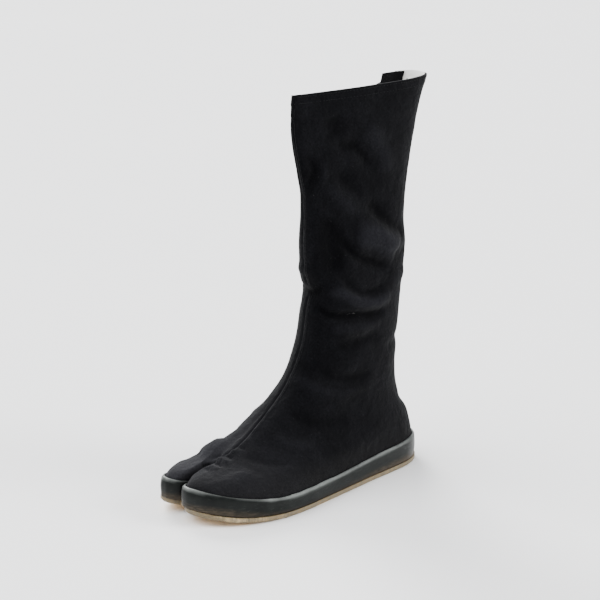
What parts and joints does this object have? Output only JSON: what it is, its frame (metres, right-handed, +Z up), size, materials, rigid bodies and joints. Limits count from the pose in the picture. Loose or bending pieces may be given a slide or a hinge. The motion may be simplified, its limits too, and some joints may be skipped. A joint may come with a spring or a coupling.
{
  "type": "jika tabi boot",
  "caption": "Tall split-toe cloth work boot for the left foot on a ribbed gum rubber sole, fastened up the inner back by a row of hooked clasps.",
  "frame": {"origin": "on the floor under the middle of the heel, on the flat of a tread rib", "axes": "toe along -Y, the wearer's left and outer side of the foot along +X, +Z up"},
  "size_m": [0.1063, 0.2815, 0.3644],
  "materials": {
    "gum_rubber": "matt gum rubber",
    "black_rubber": "satin",
    "insole_cloth": "plain cotton",
    "black_cloth": "cotton twill",
    "clasp_brass": "stamped sheet"
  },
  "bodies": {
    "root": {"outsole": "gum_rubber", "foxing": "black_rubber", "insole": "insole_cloth", "upper": "black_cloth", "underlap": "black_cloth", "clasp_01": "clasp_brass", "clasp_02": "clasp_brass", "clasp_03": "clasp_brass", "clasp_04": "clasp_brass", "clasp_05": "clasp_brass", "clasp_06": "clasp_brass", "clasp_07": "clasp_brass", "clasp_08": "clasp_brass", "clasp_09": "clasp_brass", "clasp_10": "clasp_brass", "clasp_11": "clasp_brass", "clasp_12": "clasp_brass"}
  },
  "joints": []
}
